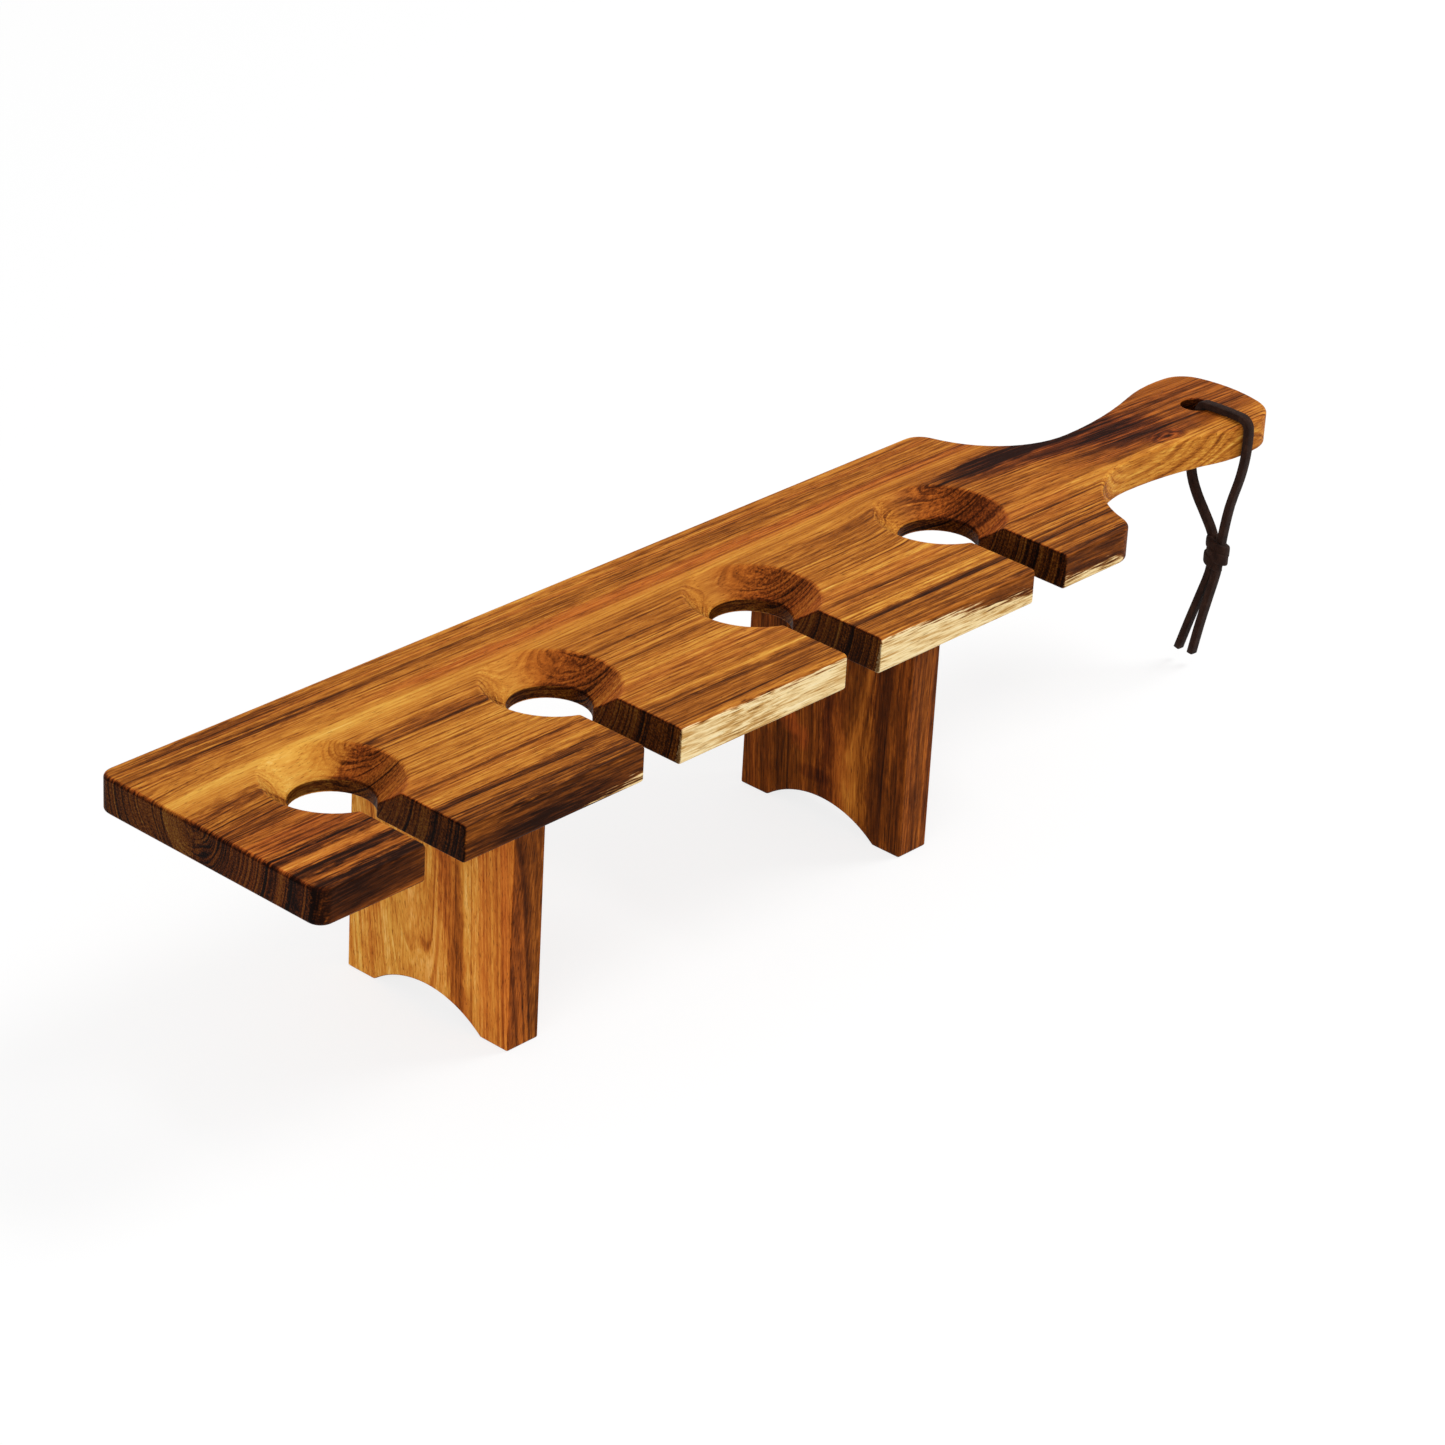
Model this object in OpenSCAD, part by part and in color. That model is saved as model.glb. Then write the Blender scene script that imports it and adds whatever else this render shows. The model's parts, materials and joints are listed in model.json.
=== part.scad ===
// Wine flight board: an acacia plank on two arched legs, with four dished seats that glasses slide
// into by the stem, a paddle handle and a suede hanging thong.
// The origin is on the table under the middle of the board; +X runs to the handle, -Y to the slots.

/* [Board] */
// Length from the square end to the tip of the handle
board_l = 571.5; // [540:0.5:640]
// Width across the body
board_w = 114.3; // [110:0.1:130]
// Thickness of the plank
board_t = 15; // [14:0.5:22]
// Corner radius of the square end, seen from above
corner_r = 6; // [4:0.5:14]
// Rounding along the top and bottom edges
edge_r = 2; // [1:0.25:3]

/* [Handle] */
// Width at the widest place of the paddle
handle_w = 52.86; // [48:0.02:60]
// Width at the neck
neck_w = 33.66; // [28:0.02:38]
// Distance of the neck from the tip
neck_from_tip = 89.75; // [84:0.25:96]
// Radius of the bite between the shoulder and the neck
bite_r = 46; // [40:1:50]
// Rounding of the shoulder corner
shoulder_r = 10; // [4:0.5:12]
// Radius of the hollow between the neck and the paddle
hollow_r = 172; // [160:2:200]
// Radius of the paddle's flank
flank_r = 68; // [55:1:80]
// Radius of the paddle's corner
paddle_corner_r = 14.4; // [10:0.1:16]
// Radius of the paddle's tip
tip_r = 56; // [45:1:70]
// Diameter of the hanging hole
hang_hole_d = 12; // [10:0.5:14]
// Distance of the hanging hole from the tip
hang_hole_from_tip = 26; // [22:0.5:30]

/* [Glass seats] */
// Number of seats
seat_count = 4; // [2:1:4]
// Distance between neighbouring seats
seat_pitch = 108.4; // [100:0.1:112]
// Distance of the first seat from the square end
seat_from_end = 59; // [50:0.5:62]
// Diameter of the dish at the top of the board
dish_d = 53.2; // [46:0.1:60]
// Diameter of the hole under the dish
hole_d = 31.8; // [28:0.1:36]
// Height of the straight wall of the hole
hole_land = 5.8; // [3:0.1:8]
// Width of the slot for the stem
slot_w = 18.8; // [14:0.1:20]

/* [Legs] */
// Height of the legs, from the table to the board
leg_h = 99.3; // [85:0.1:120]
// Width of a leg, across the board
leg_w = 84; // [78:0.5:100]
// Thickness of a leg
leg_t = 16; // [14:0.5:20]
// Distance of the left leg's middle from the square end
leg_left_from_end = 116.25; // [112:0.25:118]
// Distance of the right leg's middle from the square end
leg_right_from_end = 331.15; // [328:0.05:336]
// Width of the arch at the foot
arch_w = 56; // [40:1:60]
// Rise of the arch
arch_h = 9.8; // [6:0.1:14]

/* [Dowels] */
// Diameter of a dowel
dowel_d = 8; // [6:0.5:10]
// Length of a dowel
dowel_l = 28; // [24:1:34]
// Depth of the dowel holes in the board
dowel_in_board = 9; // [7:0.5:10]
// Distance between the two dowels of a leg
dowel_spacing = 52; // [40:1:60]
// Chamfer on each end of a dowel
dowel_chamfer = 1; // [0.5:0.1:1.5]

/* [Thong] */
// Width of the lace
lace_w = 4; // [3.5:0.1:4.4]
// Thickness of the lace
lace_t = 2.8; // [2:0.1:3]
// Diameter of the knot
knot_d = 10; // [9:0.5:12]
// Height of the knot
knot_h = 14; // [12:0.5:16]

/* [Hidden] */
// Radial glue gap round each dowel
glue_gap = 0.05;
// Space left past each end of a dowel
dowel_end_gap = 1;
// Overshoot of a cutter past the face it breaks through
over = 1;
$fn = 96;
// Segments round a small edge profile
edge_fn = 24;
// Height left off each rounding, so that it meets the faces at a slight angle as a sanded edge does
edge_ease = 0.06;
// Extra depth and reach of the roundings that join two others
link_depth = 0.015;
link_reach = 0.3;

half_l = board_l / 2;
half_w = board_w / 2;
seat_x0 = -half_l + seat_from_end;
seats = [for (i = [0:seat_count - 1]) seat_x0 + i * seat_pitch];
hang_x = half_l - hang_hole_from_tip;
leg_x = [leg_left_from_end - half_l, leg_right_from_end - half_l];
dowel_y = dowel_spacing / 2;
dowel_z = leg_h + dowel_in_board - dowel_end_gap - dowel_l;

// Outline of the plank, seen from above and measured from the neck: centres of the +Y arcs
neck_x = half_l - neck_from_tip;
square_end = neck_from_tip - board_l;
neck = [0, neck_w / 2];
c_bite = [0, neck.y + bite_r];
c_hollow = [0, neck.y + hollow_r];
shoulder_y = half_w - shoulder_r;
c_shoulder = [
    -sqrt(pow(bite_r + shoulder_r, 2) - pow(c_bite.y - shoulder_y, 2)),
    shoulder_y
];
flank_y = handle_w / 2 - flank_r;
c_flank = [sqrt(pow(hollow_r + flank_r, 2) - pow(c_hollow.y - flank_y, 2)), flank_y];
c_tip = [neck_from_tip - tip_r, 0];
c_paddle = circle_meet(c_flank, flank_r - paddle_corner_r, c_tip, tip_r - paddle_corner_r);
c_corner = [square_end + corner_r, half_w - corner_r];

// Points where one arc or line runs into the next
p_shoulder = toward(c_shoulder, c_bite, shoulder_r);
p_flank = toward(c_hollow, c_flank, hollow_r);
p_paddle = toward(c_flank, c_paddle, flank_r);
p_tip = toward(c_tip, c_paddle, tip_r);
p_end = [square_end, half_w - corner_r];
p_back = [square_end + corner_r, half_w];
p_body = [c_shoulder.x, half_w];
corners = [p_tip, p_paddle, p_flank, neck, p_shoulder, p_body, p_back, p_end];

// Arcs in two sets, so that no arc lies beside another of its own set: centre, radius, first and
// last point counterclockwise about the centre, and 1 where the wood is inside the arc
main_arcs = both_sides([
    [c_bite, bite_r, p_shoulder, neck, 0],
    [c_flank, flank_r, p_paddle, p_flank, 1]
]);
tip_arc = [c_tip, tip_r, flip(p_tip), p_tip, 1];
link_arcs = both_sides([
    [c_paddle, paddle_corner_r, p_tip, p_paddle, 1],
    [c_hollow, hollow_r, neck, p_flank, 0],
    [c_shoulder, shoulder_r, p_shoulder, p_body, 1],
    [c_corner, corner_r, p_back, p_end, 1]
]);
arcs = concat(main_arcs, [tip_arc], link_arcs);

function both_sides(set) =
    concat(set, [for (arc = set) [flip(arc[0]), arc[1], flip(arc[3]), flip(arc[2]), arc[4]]]);

function flip(p) = [p.x, -p.y];

// Crossing of two circles that lies further along +Y
function circle_meet(a, ra, b, rb) =
    let (
        d = norm(b - a),
        u = (b - a) / d,
        along = (ra * ra - rb * rb + d * d) / (2 * d),
        across = sqrt(ra * ra - along * along)
    )
    a + along * u + across * [u.y, -u.x];

function toward(from, to, dist) = from + dist * (to - from) / norm(to - from);

function angle_of(v) = atan2(v.y, v.x);

function turn(from, to) = (to - from + 720) % 360;

// Route of the lace: one tail, the knot, over the edge, down the hole, the knot, the other tail
route = [
    [256, -14, 6], [257, -16, 20], [258, -18, 32], [259, -20, 44], [259.5, -20.6, 54],
    [259.5, -21.2, 62], [259.5, -23.2, 76], [259.5, -26.8, 90], [259.5, -28.4, 100],
    [260, -28.4, 108], [260, -28.2, 112.2], [260, -27.6, 114.2], [260, -26.2, 115.6],
    [260.5, -24, 116], [261, -19, 115.9], [261, -14, 115.9], [260.5, -8, 115.9], [260, -4.8, 115.9],
    [259.5, -3.6, 114.6], [259.5, -3, 112], [259.5, -2.6, 106], [259.5, -1.4, 98],
    [259.5, -1, 91], [259.5, -2.4, 83], [259.5, -6, 75.5], [259.5, -11.3, 68],
    [259.5, -15.8, 61], [259.5, -17.4, 54], [259, -16.8, 44], [258, -13.8, 32], [257, -10.6, 20],
    [256, -7, 6]
];

// Eight corners of the lace's section, as shares of its half width and half thickness
lace_section = [
    [1, 0.5], [0.65, 1], [-0.65, 1], [-1, 0.5], [-1, -0.5], [-0.65, -1], [0.65, -1], [1, -0.5]
];
sides = len(lace_section);
knot_at = [259.5, -19, 53];

function unit(v) = v / norm(v);

// Direction of the route at point i
function heading(i) =
    unit(route[min(i + 1, len(route) - 1)] - route[max(i - 1, 0)]);

// Width direction of the lace: across the route, as near +X as it can lie
function lace_side(t) = unit([1, 0, 0] - t.x * t);

function lace_ring(i) =
    let (t = heading(i), w = lace_side(t), n = cross(t, w))
    [for (c = lace_section) route[i] + c.x * lace_w / 2 * w + c.y * lace_t / 2 * n];

// Wood between the chord and an arc that bulges outward, reached from a point inside the outline
module arc_cap(arc) {
    from = [arc[0].x, arc[0].y * arc[2].y > 0 ? arc[0].y : 0];
    intersection() {
        translate(arc[0]) circle(r = arc[1]);
        polygon([from, from + 2 * (arc[2] - from), from + 2 * (arc[3] - from)]);
    }
}

// Space between the chord and an arc that is hollow
module arc_hollow(arc) {
    c = arc[0];
    translate(c) intersection() {
        circle(r = arc[1]);
        polygon([[0, 0], 2 * (arc[2] - c), 2 * (arc[3] - c)]);
    }
}

module outline() {
    last = len(corners) - 1;
    difference() {
        union() {
            polygon(concat(corners, [for (i = [0:last]) flip(corners[last - i])]));
            for (arc = arcs) if (arc[4] == 1) arc_cap(arc);
        }
        for (arc = arcs) if (arc[4] == 0) arc_hollow(arc);
    }
}

// Section of the edge cutter, with the corner of the wood at the origin
module cove(deeper) {
    difference() {
        translate([-edge_r, -edge_r]) square(edge_r + over);
        translate((edge_ease - edge_r) * [1, 1]) circle(r = edge_r - deeper, $fn = edge_fn);
    }
}

// Edge cutter along an arc, run on past both of its ends by the given reach
module arc_cove(arc, deeper, reach) {
    start = angle_of(arc[2] - arc[0]);
    extra = reach / arc[1] * 180 / PI;
    translate(arc[0]) rotate(start - extra)
        rotate_extrude(angle = turn(start, angle_of(arc[3] - arc[0])) + 2 * extra)
            translate([arc[1], 0]) mirror([1 - arc[4], 0]) cove(deeper);
}

// Edge cutter along a straight line, with the wood on the left of the way from one end to the other
module line_cove(from, to) {
    translate(from) rotate(angle_of(to - from))
        rotate([90, 0, 90]) linear_extrude(norm(to - from)) mirror([1, 0]) cove(0);
}

// Puts an edge cutter, made for an upper edge at z = 0, on both faces of the plank
module on_both_faces() {
    translate([0, 0, board_t]) children();
    mirror([0, 0, 1]) children();
}

module main_edges() {
    for (arc = main_arcs) arc_cove(arc, 0, 0);
    arc_cove(tip_arc, 0, 0);
    line_cove(p_body, p_back);
    line_cove(p_end, flip(p_end));
    line_cove(flip(p_back), flip(p_body));
}

module link_edges() {
    for (arc = link_arcs) arc_cove(arc, link_depth, link_reach);
}

// The plank with its edges rounded, from z = 0, with the neck at x = 0
module plank() {
    difference() {
        difference() {
            linear_extrude(board_t) outline();
            on_both_faces() main_edges();
        }
        on_both_faces() link_edges();
    }
}

// Dish, straight hole and stem slot of one seat, cut down from the top of the board
module seat_cutter() {
    dish_h = board_t - hole_land;
    slope = (dish_d - hole_d) / 2 / dish_h;
    translate([0, 0, leg_h - over]) cylinder(h = board_t + 2 * over, d = hole_d);
    translate([0, 0, leg_h + hole_land])
        cylinder(h = dish_h + over, d1 = hole_d, d2 = dish_d + 2 * over * slope);
    translate([-slot_w / 2, -half_w - over, leg_h - over])
        cube([slot_w, half_w + over, board_t + 2 * over]);
}

// Both dowel holes of one leg, through the joint between leg and board
module dowel_holes() {
    for (y = [-dowel_y, dowel_y])
        translate([0, y, dowel_z - dowel_end_gap])
            cylinder(h = dowel_l + 2 * dowel_end_gap, d = dowel_d + 2 * glue_gap, $fn = 48);
}

module board() {
    color("#a8692c") difference() {
        translate([neck_x, 0, leg_h]) plank();
        for (x = seats) translate([x, 0, 0]) seat_cutter();
        translate([hang_x, 0, leg_h - over]) cylinder(h = board_t + 2 * over, d = hang_hole_d);
        for (x = leg_x) translate([x, 0, 0]) dowel_holes();
    }
}

module leg(x) {
    arch_r = (pow(arch_w / 2, 2) + pow(arch_h, 2)) / (2 * arch_h);
    color("#9a5a26") translate([x, 0, 0]) difference() {
        translate([-leg_t / 2, 0, 0]) rotate([90, 0, 90]) linear_extrude(leg_t) difference() {
            translate([-leg_w / 2, 0]) square([leg_w, leg_h]);
            translate([0, arch_h - arch_r]) circle(r = arch_r, $fn = 144);
        }
        dowel_holes();
    }
}

module dowel(x, y) {
    color("#d9b27a") translate([x, y, dowel_z]) rotate_extrude($fn = 48)
        polygon([
            [0, 0], [dowel_d / 2 - dowel_chamfer, 0], [dowel_d / 2, dowel_chamfer],
            [dowel_d / 2, dowel_l - dowel_chamfer], [dowel_d / 2 - dowel_chamfer, dowel_l], [0, dowel_l]
        ]);
}

module thong() {
    rings = [for (i = [0:len(route) - 1]) lace_ring(i)];
    points = [for (ring = rings) for (p = ring) p];
    count = len(rings);
    skin = [
        for (i = [0:count - 2]) for (k = [0:sides - 1])
            let (a = i * sides + k, b = i * sides + (k + 1) % sides)
            [a, b, b + sides, a + sides]
    ];
    first = [for (k = [0:sides - 1]) sides - 1 - k];
    final = [for (k = [0:sides - 1]) (count - 1) * sides + k];
    color("#2e1a12") polyhedron(points, concat([first], skin, [final]), convexity = 6);
}

module thong_knot() {
    color("#26150f") translate(knot_at) intersection() {
        cylinder(h = knot_h, d = knot_d, center = true, $fn = 48);
        sphere(d = knot_h, $fn = 48);
    }
}

board();
leg(leg_x[0]);  // leg_left
leg(leg_x[1]);  // leg_right
dowel(leg_x[0], -dowel_y);  // dowel_left_front
dowel(leg_x[0], dowel_y);  // dowel_left_rear
dowel(leg_x[1], -dowel_y);  // dowel_right_front
dowel(leg_x[1], dowel_y);  // dowel_right_rear
thong();
thong_knot();
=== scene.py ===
import json
import math
import bmesh
import bpy
from mathutils import Matrix, Vector


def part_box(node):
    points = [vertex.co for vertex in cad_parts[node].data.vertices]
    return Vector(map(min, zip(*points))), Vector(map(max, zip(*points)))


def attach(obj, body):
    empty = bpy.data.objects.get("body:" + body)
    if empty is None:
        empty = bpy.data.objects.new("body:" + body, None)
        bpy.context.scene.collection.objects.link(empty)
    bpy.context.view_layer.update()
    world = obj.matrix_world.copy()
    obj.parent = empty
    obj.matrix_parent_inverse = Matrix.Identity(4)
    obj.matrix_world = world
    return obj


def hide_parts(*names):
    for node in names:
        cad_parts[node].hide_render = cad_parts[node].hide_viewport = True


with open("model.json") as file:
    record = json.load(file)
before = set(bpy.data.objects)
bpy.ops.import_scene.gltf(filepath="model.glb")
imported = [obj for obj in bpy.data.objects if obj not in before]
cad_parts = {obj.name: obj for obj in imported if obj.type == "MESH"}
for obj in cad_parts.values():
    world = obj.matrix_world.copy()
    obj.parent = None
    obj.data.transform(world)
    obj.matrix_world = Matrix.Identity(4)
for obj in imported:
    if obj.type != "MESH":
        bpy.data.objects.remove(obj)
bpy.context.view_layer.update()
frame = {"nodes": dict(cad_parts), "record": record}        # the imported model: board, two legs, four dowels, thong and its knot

print("frame loaded:", ", ".join(sorted(frame["nodes"])))


cameraSettings = {
    "place": (-1.31195, -1.14255, 0.96605),  # metres
    "azimuth": -48.45,                       # degrees, left of straight in front
    "elevation": 27.63,
    "roll": 3.23,
    "lens": 127.17,                          # mm, with a square frame
    "sensor": 36,                            # mm
    "clip": (0.05, 60),                      # metres
}


def makeCamera(settings):
    turn, rise, roll = (math.radians(settings[k]) for k in ("azimuth", "elevation", "roll"))
    back = Vector((math.sin(turn) * math.cos(rise), -math.cos(turn) * math.cos(rise), math.sin(rise)))
    level = (-back).cross(Vector((0, 0, 1))).normalized()
    upright = level.cross(-back)
    right = math.cos(roll) * level + math.sin(roll) * upright
    up = math.cos(roll) * upright - math.sin(roll) * level
    lensData = bpy.data.cameras.new("camera")
    lensData.sensor_width = settings["sensor"]
    lensData.lens = settings["lens"]
    lensData.clip_start, lensData.clip_end = settings["clip"]
    camera = bpy.data.objects.new("camera", lensData)
    turned = Matrix((right, up, back)).transposed().to_4x4()
    camera.matrix_world = Matrix.Translation(settings["place"]) @ turned
    bpy.context.scene.collection.objects.link(camera)
    bpy.context.scene.camera = camera


makeCamera(cameraSettings)
print("camera placed")


def pieceFrom(shape, name):
    mesh = bpy.data.meshes.new(name)
    shape.to_mesh(mesh)
    shape.free()
    piece = bpy.data.objects.new(name, mesh)
    bpy.context.scene.collection.objects.link(piece)
    return piece


thong = {
    "width": 0.0043,        # metres
    "thickness": 0.0029,
    "ringsPerStretch": 3,
    "splitAt": 20,          # point of the route in the hanging hole, where the two strands start
    # one tail, the knot, over the edge, down the hole, the knot, the other tail
    "route": [
        (0.256, -0.014, 0.006), (0.257, -0.016, 0.020), (0.258, -0.018, 0.032), (0.259, -0.020, 0.044),
        (0.2595, -0.0206, 0.054), (0.2595, -0.0212, 0.062), (0.2595, -0.0232, 0.076),
        (0.2595, -0.0268, 0.090), (0.2595, -0.0284, 0.100), (0.260, -0.0284, 0.108),
        (0.260, -0.0282, 0.1122), (0.260, -0.0276, 0.1142), (0.260, -0.0262, 0.1156),
        (0.2605, -0.024, 0.116), (0.261, -0.019, 0.1159), (0.261, -0.014, 0.1159),
        (0.2605, -0.008, 0.1159), (0.260, -0.0048, 0.1159), (0.2595, -0.0036, 0.1146),
        (0.2595, -0.003, 0.112), (0.2595, -0.0026, 0.106), (0.2595, -0.0014, 0.098),
        (0.2595, -0.001, 0.091), (0.2595, -0.0024, 0.083), (0.2595, -0.006, 0.0755),
        (0.2595, -0.0113, 0.068), (0.2595, -0.0158, 0.061), (0.2595, -0.0174, 0.054),
        (0.259, -0.0168, 0.044), (0.258, -0.0138, 0.032), (0.257, -0.0106, 0.020),
        (0.256, -0.007, 0.006),
    ],
}

laceSection = {
    "corners": 16,
    "squareness": 0.35,     # 1 is an oval, 0 a box
}


def smoothLine(points, steps):
    # the route's points with a soft curve between them
    points = [Vector(p) for p in points]
    line = []
    for i in range(len(points) - 1):
        before, here = points[max(i - 1, 0)], points[i]
        there, after = points[i + 1], points[min(i + 2, len(points) - 1)]
        for k in range(steps):
            t = k / steps
            line.append(0.5 * (2 * here + (there - before) * t
                               + (2 * before - 5 * here + 4 * there - after) * t ** 2
                               + (3 * here - before - 3 * there + after) * t ** 3))
    return line + [points[-1]]


def laceMesh(name, line, width, thickness, side):
    # a flat lace: one round-cornered section drawn along the line, ring by ring
    shape = bmesh.new()
    corners, power = laceSection["corners"], laceSection["squareness"]
    section = bmesh.ops.create_circle(shape, cap_ends=False, segments=corners, radius=1)["verts"]
    for v in section:  # squarer than a circle, as a cut lace is
        v.co.x = math.copysign(abs(v.co.x) ** power, v.co.x)
        v.co.y = math.copysign(abs(v.co.y) ** power, v.co.y)
    plain = [v.co.copy() for v in section]
    rings = []
    for i, here in enumerate(line):
        heading = (line[min(i + 1, len(line) - 1)] - line[max(i - 1, 0)]).normalized()
        across = (side - heading * heading.dot(side)).normalized()
        upward = heading.cross(across)
        place = Matrix((across * width / 2, upward * thickness / 2, heading)).transposed().to_4x4()
        if i:
            grown = bmesh.ops.extrude_edge_only(shape, edges=edges)["geom"]
            section = [v for v in grown if isinstance(v, bmesh.types.BMVert)]
            edges = [e for e in grown if isinstance(e, bmesh.types.BMEdge)]
        else:
            edges = shape.edges[:]
        for v, flat in zip(section, plain):
            v.co = here + place @ flat
        rings.append(section)
    shape.verts.index_update()
    for ring in (rings[0], rings[-1]):
        rim = [e for e in shape.edges if all(v in ring for v in e.verts)]
        bmesh.ops.contextual_create(shape, geom=rim)
    bmesh.ops.recalc_face_normals(shape, faces=shape.faces)
    for face in shape.faces:
        face.smooth = len(face.verts) == 4
    return pieceFrom(shape, name)


def makeThong(sizes):
    steps = sizes["ringsPerStretch"]
    line = smoothLine(sizes["route"], steps)
    split = sizes["splitAt"] * steps
    ways = {"thong_front": line[split::-1], "thong_rear": line[split:]}
    made = []
    for name, way in ways.items():
        piece = laceMesh(name, way, sizes["width"], sizes["thickness"], Vector((1, 0, 0)))
        length = sum((b - a).length for a, b in zip(way, way[1:]))
        made.append((piece, way, length))
        print(f"{name}: {length * 1000:.0f} mm long")
    return made


knot = {
    "middle": (0.2595, -0.019, 0.053),
    "laceWidth": 0.0046,
    "laceThickness": 0.0025,
    "turns": (-200, 740),         # degrees about the two strands, from the front
    "stride": 20,                 # degrees from one point to the next
    "ringsPerStretch": 2,
    "heights": (0.0048, -0.0046),
    "reach": 0.0037,              # from the middle line to the middle of the lace
    "unevenness": 0.0005,
    "unevenWaves": 1.35,          # waves in one turn
    "tuckedIn": 0.4,              # share of the reach that is left at the two ends
    "tuckedOver": 0.06,           # share of the lace that this takes
    "tilt": 0.0014,
    "lowSide": 41,                # the way the turns slant down, in degrees
}


def makeKnot(sizes):
    # the lace wound about both strands and tucked in at its two ends
    middle, points = Vector(sizes["middle"]), []
    start, end = sizes["turns"]
    tucked = sizes["tuckedIn"]
    for turn in range(start, end + 1, sizes["stride"]):
        share = (turn - start) / (end - start)
        angle = math.radians(turn)
        reach = sizes["reach"] + sizes["unevenness"] * math.sin(sizes["unevenWaves"] * angle)
        reach *= min(1, tucked + (1 - tucked) * min(share, 1 - share) / sizes["tuckedOver"])
        height = sizes["heights"][0] * (1 - share) + sizes["heights"][1] * share
        height -= sizes["tilt"] * math.cos(angle - math.radians(sizes["lowSide"]))
        points.append(middle + Vector((reach * math.sin(angle), -reach * math.cos(angle), height)))
    line = smoothLine(points, sizes["ringsPerStretch"])
    return laceMesh("thong_wraps", line, sizes["laceWidth"], sizes["laceThickness"], Vector((0, 0, 1)))


strands = makeThong(thong)
knotPiece = makeKnot(knot)
print("knot wound")


def join(tree, value, socket):
    if isinstance(value, bpy.types.NodeSocket):
        tree.links.new(value, socket)
    else:
        socket.default_value = value


def put(tree, kind, inputs=(), **settings):
    made = tree.nodes.new(kind)
    for key, value in settings.items():
        setattr(made, key, value)
    for key, value in dict(inputs).items():
        join(tree, value, made.inputs[key])
    return made


def maths(tree, operation, *values, clamp=False):
    return put(tree, "ShaderNodeMath", enumerate(values), operation=operation, use_clamp=clamp).outputs[0]


def vectors(tree, operation, *values):
    return put(tree, "ShaderNodeVectorMath", enumerate(values), operation=operation).outputs[0]


def vector(tree, x=0.0, y=0.0, z=0.0):
    return put(tree, "ShaderNodeCombineXYZ", {0: x, 1: y, 2: z}).outputs[0]


def parts(tree, value):
    return put(tree, "ShaderNodeSeparateXYZ", {0: value}).outputs


def swing(tree, base, level, amount, middle=0.5):
    # base, moved up and down by amount as the level runs about its middle
    return maths(tree, "MULTIPLY_ADD", maths(tree, "SUBTRACT", level, middle), amount, base)


def towards(tree, value, goal, share):
    return maths(tree, "MULTIPLY_ADD", maths(tree, "SUBTRACT", goal, value), share, value)


def spread(tree, value, low, high, newLow=0.0, newHigh=1.0, smooth=False):
    kind = "SMOOTHSTEP" if smooth else "LINEAR"
    numbers = {"Value": value, "From Min": low, "From Max": high, "To Min": newLow, "To Max": newHigh}
    return put(tree, "ShaderNodeMapRange", numbers, interpolation_type=kind).outputs["Result"]


def distance(tree, value, middle):
    return maths(tree, "ABSOLUTE", maths(tree, "SUBTRACT", value, middle))


def ramp(tree, value, stops):
    made = put(tree, "ShaderNodeValToRGB", {"Fac": value})
    band = made.color_ramp
    while len(band.elements) < len(stops):
        band.elements.new(1.0)
    for element, (place, colour) in zip(band.elements, stops):
        element.position = place
        element.color = (*colour, 1)
    return made.outputs["Color"]


def blend(tree, share, first, second, mode="MIX"):
    made = put(tree, "ShaderNodeMix", data_type="RGBA", blend_type=mode)
    for socket, value in ((made.inputs[0], share), (made.inputs[6], first), (made.inputs[7], second)):
        if isinstance(value, tuple) and len(value) == 3:
            value = (*value, 1)
        join(tree, value, socket)
    return made.outputs[2]


def curve(tree, value, points):
    # value runs from the first point's place to the last one's; the heights give what comes out
    low, high = points[0][0], points[-1][0]
    most = max(abs(height) for place, height in points)
    made = put(tree, "ShaderNodeFloatCurve", {"Value": spread(tree, value, low, high)})
    line = made.mapping.curves[0]
    made.mapping.use_clip = False
    while len(line.points) < len(points):
        line.points.new(0.5, 0.5)
    for point, (place, height) in zip(line.points, points):
        point.location = ((place - low) / (high - low), height / most)
        point.handle_type = "AUTO_CLAMPED"
    made.mapping.update()
    return maths(tree, "MULTIPLY", made.outputs[0], most)


def stretchedNoise(tree, place, size, detail=2.0, roughness=0.5, output="Fac"):
    # noise whose cells are about size millimetres along each axis
    scaled = vectors(tree, "MULTIPLY", place, tuple(1 / s for s in size))
    numbers = {"Vector": scaled, "Scale": 1.0, "Detail": detail, "Roughness": roughness}
    return put(tree, "ShaderNodeTexNoise", numbers).outputs[output]


def smokeOf(tree, place, size):
    # a fine, uneven noise that frays the edges of spots
    return spread(tree, stretchedNoise(tree, place, size, detail=4.0, roughness=0.7), 0.3, 0.7)


def millimetres(tree):
    where = put(tree, "ShaderNodeTexCoord").outputs["Object"]
    return put(tree, "ShaderNodeVectorMath", {0: where, 3: 1000.0}, operation="SCALE").outputs[0]


def swayed(tree, where, lengths, reach):
    # the place again with the slow bends of a log
    sway = stretchedNoise(tree, where, lengths, detail=1.0, output="Color")
    return vectors(tree, "MULTIPLY_ADD", vectors(tree, "SUBTRACT", sway, (0.5, 0.5, 0.5)), reach, where)


def facing(tree):
    return parts(tree, put(tree, "ShaderNodeNewGeometry").outputs["Normal"])


bumpDepth = 0.0003  # metres from the bottom of a fine relief to its top


def addBump(tree, shader, height, strength):
    bump = put(tree, "ShaderNodeBump", {"Height": height, "Strength": strength, "Distance": bumpDepth})
    tree.links.new(bump.outputs[0], shader.inputs["Normal"])


def newMaterial(name):
    made = bpy.data.materials.new(name)
    made.use_nodes = True
    tree = made.node_tree
    shader = tree.nodes["Principled BSDF"]
    return made, tree, shader


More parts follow.
